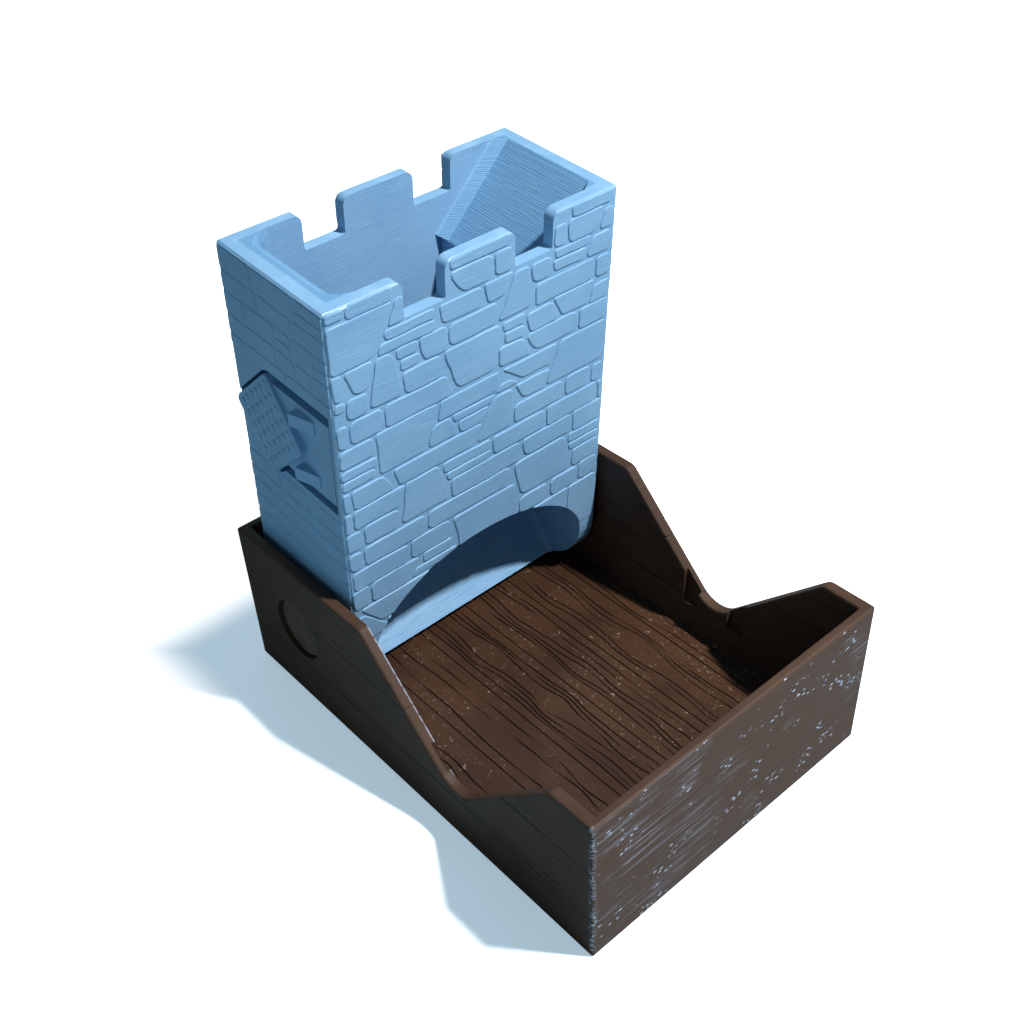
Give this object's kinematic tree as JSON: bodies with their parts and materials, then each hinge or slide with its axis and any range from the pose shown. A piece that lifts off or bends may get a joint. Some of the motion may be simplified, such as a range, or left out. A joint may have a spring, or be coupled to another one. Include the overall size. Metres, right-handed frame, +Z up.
{
  "type": "folding dice tower",
  "caption": "Folding dice tower: a castle tower with battlements and an arch turns on side pins in an open tray with notched walls and folds flat into it.",
  "frame": {"origin": "centre of the tray's underside, on the surface that it stands on", "axes": "+X to the right seen from the front, +Y from the tray's front to the tower at the back, +Z up"},
  "size_m": [0.09, 0.1274, 0.1253],
  "materials": {
    "tray_plastic": "dark brown printed plastic with a wood grain",
    "pin_plastic": "dark brown printed plastic, smooth",
    "tower_plastic": "light blue printed plastic with stone blocks in relief"
  },
  "bodies": {
    "tray": {"tray": "tray_plastic", "pivot_pin_left": "pin_plastic", "pivot_pin_right": "pin_plastic"},
    "tower": {"tower_shell": "tower_plastic"},
    "latch_left": {"latch_tab_left": "tower_plastic"},
    "latch_right": {"latch_tab_right": "tower_plastic"}
  },
  "joints": [
    {"name": "tower_fold", "type": "hinge", "parent": "tray", "child": "tower", "pos_m": [0, 0.0415, 0.0237], "axis": [1, 0, 0], "range_deg": [-5, 85.7]},
    {"name": "latch_left", "type": "hinge", "parent": "tower", "child": "latch_left", "pos_m": [-0.0393, 0.01987, 0.08335], "axis": [0, 0.075, -0.9972], "range_deg": [0, 3.5], "stiffness_Nm_per_rad": 0.6},
    {"name": "latch_right", "type": "hinge", "parent": "tower", "child": "latch_right", "pos_m": [0.0393, 0.01987, 0.08335], "axis": [0, -0.075, 0.9972], "range_deg": [0, 3.5], "stiffness_Nm_per_rad": 0.6}
  ]
}
